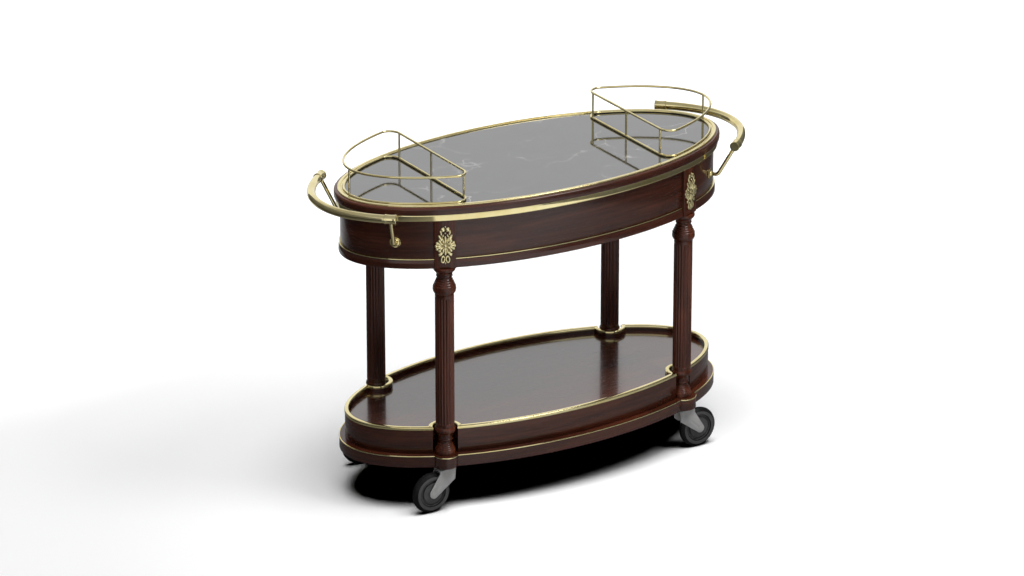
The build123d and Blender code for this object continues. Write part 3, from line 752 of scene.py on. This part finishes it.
ornamentFan = {"root": (8.5, -2.5), "turns": (-64, -32, 0, 32, 64), "squash": 0.94,
               "rib": {"reach": 10.5, "long": 8.5, "wide": 3.6, "high": 3.8},
               "tip": {"reach": 17.4, "long": 4.8, "wide": 4.8, "high": 3.4}}
ornamentDrop = {"across": 6.9, "up": -43.0, "wide": 4.6, "long": 9.2, "turn": -6}


def onBlock(x, z):
    # a spot on the ground of the casting
    return Vector((x, -block["face"] - ornament["ground"], ornament["height"] + z))


def mound(x, z, long, wide, high, turn):
    # a flattened bead, its length turned from upright
    bm = bmesh.new()
    bmesh.ops.create_uvsphere(bm, u_segments=16, v_segments=8, radius=1)
    spin = Matrix.Rotation(math.radians(turn), 4, "Y")
    return placed(bm, Matrix.Translation(onBlock(x, z)) @ spin @ Matrix.Diagonal((wide, high, long, 1)))


def dropLoop(side):
    # a closed wire loop, an ellipse turned from upright
    drop, steps = ornamentDrop, 40
    wide, long = drop["wide"], drop["long"]
    spin = Matrix.Rotation(math.radians(side * drop["turn"]), 3, "Y")
    middle = onBlock(side * drop["across"], drop["up"])
    path = []
    for step in range(steps):
        turn = math.tau * step / steps
        spot = Vector((wide * math.cos(turn), 0, long * math.sin(turn)))
        lean = Vector((math.cos(turn) / wide, 0, math.sin(turn) / long)).normalized()
        path.append((middle + spin @ spot, spin @ lean, Vector((0, -1, 0))))
    return sweep(path, ringProfile(ornament["tube"], 10))


def fanShapes(side):
    # ribs that spread from the root, each with a bead at its tip
    fan = ornamentFan
    root = Vector((side * fan["root"][0], 0, fan["root"][1]))
    shapes = []
    for degrees in fan["turns"]:
        turn = math.radians(degrees)
        ray = Vector((side * math.cos(turn), 0, fan["squash"] * math.sin(turn)))
        for part, lean in ((fan["rib"], side * (90 - degrees)), (fan["tip"], 0)):
            spot = root + ray * part["reach"]
            shapes.append(mound(spot.x, spot.z, part["long"], part["wide"], part["high"], lean))
    return shapes


def reliefShapes():
    shapes = [mound(*spec) for spec in ornamentSpine.values()]
    for side in (1, -1):
        for x, z, long, wide, high, turn in ornamentSide.values():
            shapes.append(mound(side * x, z, long, wide, high, side * turn))
        shapes.append(dropLoop(side))
        shapes += fanShapes(side)
    return shapes


def makeOrnaments():
    for name, sides in corners.items():
        casting = joined(*reliefShapes())
        relief = casting.verts.layers.float.new("relief")  # how far out a point stands, for the tarnish and painted shade in the low parts
        for vert in casting.verts:
            vert[relief] = (-vert.co.y - block["face"]) / ornament["thick"]
        casting = placed(casting, atLeg(*sides))
        piece(name + "_ornament_cast", casting, "cast_brass", [name + "_ornament"], crease=50)


makeOrnaments()
print("ornaments made")


# Push handles: bent bar, end collars, bracket rods and rosettes

handle = {"standoff": 80.0, "height": 918.5, "tube": 12.5, "collar": 14.5, "collarHalf": 17.0,
          "angle": math.radians(29.6), "rod": 5.5, "rodStart": 4.0, "stub": 26.0, "bend": 16.0, "drop": 98.0,
          "rosette": 15.5, "rosetteGap": 0.3}
grip = {"normal": ovalNormal(handle["angle"])}
grip["tangent"] = Vector((grip["normal"].y, -grip["normal"].x, 0))
grip["foot"] = ovalPoint(handle["angle"])
grip["collar"] = grip["foot"] + grip["normal"] * handle["standoff"]


def tangentArc(start, heading, end, steps):
    # frames along an arc in plan that leaves start along heading and reaches end
    chord = end - start
    across = Vector((heading.y, -heading.x, 0))
    radius = chord.dot(chord) / (2 * chord.dot(across))
    centre = start + across * radius
    whole = 2 * math.atan2(chord.dot(across), chord.dot(heading))
    frames = []
    for share in between(0, 1, steps):
        arm = Matrix.Rotation(-whole * share, 3, "Z") @ (start - centre)
        frames.append((centre + arm, arm.normalized() * math.copysign(1, radius), upward))
    return frames


def handlePath():
    # from the back collar round the cart's end, two tangent arcs to the tip and their mirror image
    start = grip["collar"]
    heading = grip["tangent"]
    tip = Vector((plan["a"] + handle["standoff"], 0, 0))
    final = Vector((0, -1, 0))
    span = tip - start
    opening = 1 - heading.dot(final)
    along = span.dot(heading + final)
    reach = (math.sqrt(along ** 2 + 2 * opening * span.dot(span)) - along) / (2 * opening)
    middle = (start + tip + (heading - final) * reach) / 2
    first = tangentArc(start, heading, middle, 20)
    lean = first[-1][1]
    half = first + tangentArc(middle, Vector((lean.y, -lean.x, 0)), tip, 20)[1:]
    return half + mirrored(half[::-1], 1, -1)[1:]


def bracketPath():
    # out from the rosette and up to the collar, with a bend
    foot, out, tangent = grip["foot"], grip["normal"], grip["tangent"]
    low = handle["height"] - handle["drop"]

    def at(distance, height):
        return foot + out * distance + upward * (low + height)

    start = at(handle["rodStart"], 0)
    bendAt = at(handle["stub"], 0)
    end = at(handle["standoff"], handle["drop"])
    turn = out.angle((end - bendAt).normalized())
    cut = handle["bend"] * math.tan(turn / 2)
    centre = bendAt - out * cut + upward * handle["bend"]
    path = [(start, -upward, tangent)]
    for share in between(0, turn, 14):
        arm = -upward * math.cos(share) + out * math.sin(share)
        path.append((centre + arm * handle["bend"], arm, tangent))
    path.append((end, path[-1][1], tangent))
    return path


def collarShape():
    # two plain rings with a shallow hollow between them
    radius, half = handle["collar"], handle["collarHalf"]
    points = [(0, -half), (radius - 1.2, -half), (radius, -half + 1.2), (radius, -half + 5)]
    points += arcStretch((radius - 0.6, -half + 5.4), (radius - 0.6, half - 5.4), -0.6)
    points += [(radius, half - 5), (radius, half - 1.2), (radius - 1.2, half), (0, half)]
    return lathe(points, steps=48)


def rosetteShape():
    # a rimmed dish that rises to a neck round the rod
    radius = handle["rosette"]
    points = [(0, 0), (radius - 0.6, 0), (radius, 0.7), (radius, 1.9), (radius - 0.8, 2.6),
              (radius - 2.4, 2.4)]
    points += arcStretch((radius - 3, 2.3), (7.6, 7.4), -1.2)
    points += [(7.4, 7.8), (7.2, 9), (5.6, 9), (0, 9)]
    return lathe(points, steps=48)


def turnedTo(spot, direction):
    # takes the upright axis to a spot and along a direction
    return Matrix.Translation(spot) @ direction.to_track_quat("Z", "Y").to_matrix().to_4x4()


def makeHandles():
    bar = raised(ringProfile(handle["tube"], 32), handle["height"])
    along = turnedTo(grip["collar"] + upward * handle["height"], grip["tangent"])
    seat = grip["foot"] + grip["normal"] * handle["rosetteGap"]
    out = turnedTo(seat + upward * (handle["height"] - handle["drop"]), grip["normal"])
    rosettes = []
    for name, side in (("right", 1), ("left", -1)):
        flips = [Matrix.Diagonal((side, end, 1, 1)) for end in (1, -1)]
        tube = sweep(mirrored(handlePath(), side, 1), bar, closed=False)
        piece(name + "_handle_tube", tube, "brass", [name + "_handle_bar"], crease=60)
        collars = [placed(collarShape(), flip @ along) for flip in flips]
        piece(name + "_handle_end_collars", joined(*collars), "brass", [name + "_handle_collars"])
        rods = []
        for flip in flips:
            rods.append(placed(sweep(bracketPath(), ringProfile(handle["rod"], 20), closed=False), flip))
        piece(name + "_handle_bracket_rods", joined(*rods), "brass", [name + "_handle_brackets"], crease=60)
        rosettes += [placed(rosetteShape(), flip @ out) for flip in flips]
    piece("handle_rosette_dishes", joined(*rosettes), "brass", ["handle_rosettes"])


makeHandles()
print("handles made")


# Casters; sections have points of radius and distance from the middle of the wheel

caster = {"trail": 49.0, "radius": 60.5, "tyreHalf": 13.0, "tyreSeat": 0.1, "shoulder": 9.0, "crown": 8.65,
          "hub": 39.0, "disc": 30.5, "bore": 4.1, "steps": 96, "forkEase": 0.6}


def wheelRing(side, crown=()):
    # turns one side of a section, its crown and the mirror image of the side
    loop = [*side, *crown, *[(radius, -height) for radius, height in reversed(side)]]
    return lathe(loop + loop[:1], caster["steps"])


def tyreShape():
    half, seat = caster["tyreHalf"], caster["hub"] + caster["tyreSeat"]
    shoulder = caster["radius"] - caster["shoulder"]
    side = [(seat, half - 1.5), (seat + 0.4, half - 0.7), (seat + 1.5, half), (shoulder - 0.8, half),
            (shoulder, half - 0.5)]
    edge, wide = shoulder + 0.3, half - 0.9
    return wheelRing(side, arcStretch((edge, -wide), (edge, wide), caster["crown"], 20)[::-1])


def tyreWalls():
    # the flat grey ring on each side of the tyre
    inner, outer = caster["hub"] + 2, caster["radius"] - 9.6
    low, high = caster["tyreHalf"] - 0.2, caster["tyreHalf"] + 0.2
    ring = [(inner, low), (inner + 0.3, high), (outer - 0.3, high), (outer, low), (inner, low)]
    walls = []
    for side in (1, -1):
        walls.append(lathe([(radius, side * height) for radius, height in ring], caster["steps"]))
    return joined(*walls)


def hubShape():
    # boss, raised disc, thin web and rim
    disc, hub = caster["disc"], caster["hub"]
    return wheelRing([(caster["bore"], 15), (10.4, 15), (11, 14.4), (11, 11.6), (disc - 0.8, 11.5),
                      (disc, 10.7), (disc, 6.4), (hub - 2.5, 6.2), (hub - 2.5, 9.4), (hub - 1.9, 10),
                      (hub, 10)])


def softened(name, width):
    # a copy of a CAD node in millimetres with its edges eased
    bm = bmesh.new()
    bm.from_mesh(nodes[name].data)
    bmesh.ops.scale(bm, vec=(1 / mm, 1 / mm, 1 / mm), verts=bm.verts)
    bmesh.ops.remove_doubles(bm, verts=bm.verts, dist=0.01)
    bmesh.ops.dissolve_limit(bm, angle_limit=math.radians(1), verts=bm.verts, edges=bm.edges, delimit=set())
    sharp = [edge for edge in bm.edges if edge.calc_face_angle(0) > math.radians(40)]
    bmesh.ops.bevel(bm, geom=sharp, offset=width, offset_type="OFFSET", affect="EDGES", segments=2,
                    profile=0.5, material=-1, clamp_overlap=True)
    return bm


def makeCasters():
    for name, (sideX, sideY) in corners.items():
        middle = (sideX * (lobeSpot.x + caster["trail"]), sideY * lobeSpot.y, caster["radius"])
        axle = Matrix.Translation(middle) @ Matrix.Rotation(math.pi / 2, 4, "X")
        start, wheel = name + "_caster", name + "_wheel"
        piece(start + "_tyre_ring", placed(tyreShape(), axle), "tyre_black", [start + "_tyre"], wheel)
        piece(start + "_tyre_walls", placed(tyreWalls(), axle), "hub_grey", [], wheel)
        piece(start + "_hub", placed(hubShape(), axle), "hub_grey", [start + "_wheel"], wheel)
        fork = start + "_fork"
        piece(fork + "_plates", softened(fork, caster["forkEase"]), "fork_grey", [fork], name + "_swivel")


makeCasters()


# Screws: their heads hang under the rack strips and the caster plates

rackScrew = {"radius": 4.0, "high": 1.4, "under": 748.0, "rows": (-120.0, 0.0, 120.0), "bars": 7,
             "pitch": 96.0}
plateScrew = {"radius": 2.6, "high": 1.1, "under": 132.0, "ring": 23.5, "count": 4}


def screwHead(screw, x, y):
    # a round head with a round socket in it
    radius, high = screw["radius"], screw["high"]
    socket = 0.42 * radius
    points = [(0, -0.5 * high), (socket, -0.5 * high), (socket, -high), (0.75 * radius, -high),
              (radius, -0.45 * high), (radius, 0), (0, 0)]
    return placed(lathe(points, steps=24), Matrix.Translation((x, y, screw["under"])))


def makeScrews():
    first = -rackScrew["pitch"] * (rackScrew["bars"] - 1) / 2
    bars = [first + rackScrew["pitch"] * bar for bar in range(rackScrew["bars"])]
    heads = [screwHead(rackScrew, x, y) for x in bars for y in rackScrew["rows"]]
    piece("rack_screws", joined(*heads), "caster_steel", [])
    for name, (sideX, sideY) in corners.items():
        heads = []
        for step in range(plateScrew["count"]):
            turn = math.tau * (step + 0.5) / plateScrew["count"]
            x = sideX * lobeSpot.x + plateScrew["ring"] * math.cos(turn)
            y = sideY * lobeSpot.y + plateScrew["ring"] * math.sin(turn)
            heads.append(screwHead(plateScrew, x, y))
        piece(name + "_plate_screws", joined(*heads), "caster_steel", [])


makeScrews()
print("casters and screws made")


# Studio, in metres
# sky: how far up a ray looks and the strength there; a mat's side: its way in plan, then places and shades
# a wall's side: shares of its height and the shades there

studio = {"sky": ((0.45, 1.0), (0.80, 0.40)), "fill": 0.05, "floor": 0.93, "floorHalf": 30.0}
sun = {"strength": 2.65, "angle": 36.0, "from": (-0.05, -0.12, 1.0)}
keyLight = {"place": (1.5, -1.9, 4.4), "target": (0.0, 0.0, 0.5), "size": (1.4, 1.4), "watts": 60}
mat = {"half": 5.0, "lift": 0.001,
       "left": ((0.927, -0.375), (-1.3, 0.08), (-0.8, 0.16), (-0.30, 0.24), (-0.24, 0.93)),
       "right": ((-0.574, -0.819), (-0.3, 0.20), (0.5, 0.50), (1.1, 0.93)),
       "back": ((0.0, 1.0), (0.8, 0.0), (1.8, 0.6))}
wall = {"away": (0.927, -0.375), "reach": 1.9, "half": 2.6, "high": 2.4,
        "left": ((0.0, 0.10), (1.0, 0.55)), "right": ((0.0, 0.24), (1.0, 0.90))}
camera = {"place": (-6.8238, -11.0657, 5.7264), "target": (-0.0446, 0.0244, 0.5254), "lens": 169.7,
          "sensor": 36.0, "far": 100.0}


def whiteWorld():
    # white where the camera or a reflection looks, dimmer overhead; a low level where it only lights
    sheet = Sheet("studio white", world=True)
    bpy.context.scene.world = sheet.owner
    height = sheet.add("ShaderNodeSeparateXYZ", None, {"Vector": sheet.place}, "Z")
    seen = sheet.add("ShaderNodeLightPath", output="Is Camera Ray")
    seen = seen.larger(seen.sibling("Is Glossy Ray")).larger(seen.sibling("Is Transmission Ray"))
    strength = sheet.add("ShaderNodeMix", None, {"Factor": seen, "A": studio["fill"],
                                                 "B": sheet.ramp(height, *studio["sky"])}, "Result")
    glow = sheet.add("ShaderNodeBackground", None, {"Color": (1, 1, 1, 1), "Strength": strength})
    sheet.add("ShaderNodeOutputWorld", None, {"Surface": glow})


def aimed(thing, place, target):
    thing.location = place
    thing.rotation_euler = (Vector(target) - thing.location).to_track_quat("-Z", "Y").to_euler()


def overheadSun():
    lamp = bpy.data.lights.new("overhead sun", "SUN")
    lamp.energy = sun["strength"]
    lamp.angle = math.radians(sun["angle"])
    light = shown("overhead sun", lamp)
    light.rotation_euler = Vector(sun["from"]).to_track_quat("Z", "Y").to_euler()
    light.visible_glossy = False


def areaLight():
    lamp = bpy.data.lights.new("key light", "AREA")
    lamp.shape = "RECTANGLE"
    lamp.size, lamp.size_y = keyLight["size"]
    lamp.energy = keyLight["watts"]
    aimed(shown("key light", lamp), keyLight["place"], keyLight["target"])


def stageCard(name, spots, sheet, shade, unseen=True):
    # unseen cards show in reflections and bounced light only
    bm = bmesh.new()
    bm.faces.new([bm.verts.new(spot) for spot in spots])
    card = shown(name, meshOf(name, bm))
    card.visible_camera = not unseen
    card.visible_shadow = not unseen
    diffuse = sheet.add("ShaderNodeBsdfDiffuse", None, {"Color": shade})
    sheet.add("ShaderNodeOutputMaterial", None, {"Surface": diffuse})
    card.data.materials.append(sheet.owner)


def square(half, height):
    return [(half * x, half * y, height) for x, y in ((-1, -1), (1, -1), (1, 1), (-1, 1))]


def studioFloor():
    sheet = Sheet("pale floor")
    cloud = sheet.noise((0.7, 0.7, 0.7), 2.0)
    tone = sheet.tint(cloud, (studio["floor"],) * 3, (studio["floor"] + 0.01,) * 3)
    stageCard("floor", square(studio["floorHalf"], 0), sheet, tone, unseen=False)


def dimMat():
    # over the floor: pale in front and behind, dim to the left and right
    sheet = Sheet("dim mat")
    along = sheet.add("ShaderNodeSeparateXYZ", None, {"Vector": sheet.place}, "X")
    across = along.sibling("Y")
    unit = 1 / mat["half"]  # a ramp runs over half of the mat, from 0 to 1 with its middle at 0.5
    shades = []
    for side in ("left", "right", "back"):
        (partX, partY), *stops = mat[side]
        reach = along * (unit * partX) + across * (unit * partY) + 0.5
        shades.append(sheet.ramp(reach, *[(0.5 + unit * place, shade) for place, shade in stops]))
    left, right, back = shades
    stageCard("dim mat", square(mat["half"], mat["lift"]), sheet, left.smaller(right).larger(back))


def dimWalls():
    away = Vector((*wall["away"], 0))
    along = away.cross(upward)
    for name, side in (("left", -1), ("right", 1)):
        sheet = Sheet(name + " wall")
        height = sheet.add("ShaderNodeSeparateXYZ", None, {"Vector": sheet.place}, "Z")
        shade = sheet.ramp(height * (1 / wall["high"]), *wall[name])
        feet = [away * (side * wall["reach"]) + along * half for half in (-wall["half"], wall["half"])]
        heads = [foot + upward * wall["high"] for foot in reversed(feet)]
        stageCard(name + " wall", feet + heads, sheet, shade)


def photoCamera():
    lens = bpy.data.cameras.new("camera")
    lens.lens = camera["lens"]
    lens.sensor_width = camera["sensor"]
    lens.sensor_fit = "HORIZONTAL"
    lens.clip_end = camera["far"]
    eye = shown("camera", lens)
    aimed(eye, camera["place"], camera["target"])
    bpy.context.scene.camera = eye


whiteWorld()
overheadSun()
areaLight()
studioFloor()
dimMat()
dimWalls()
photoCamera()
bpy.context.scene.view_settings.view_transform = "Standard"
print("studio set")
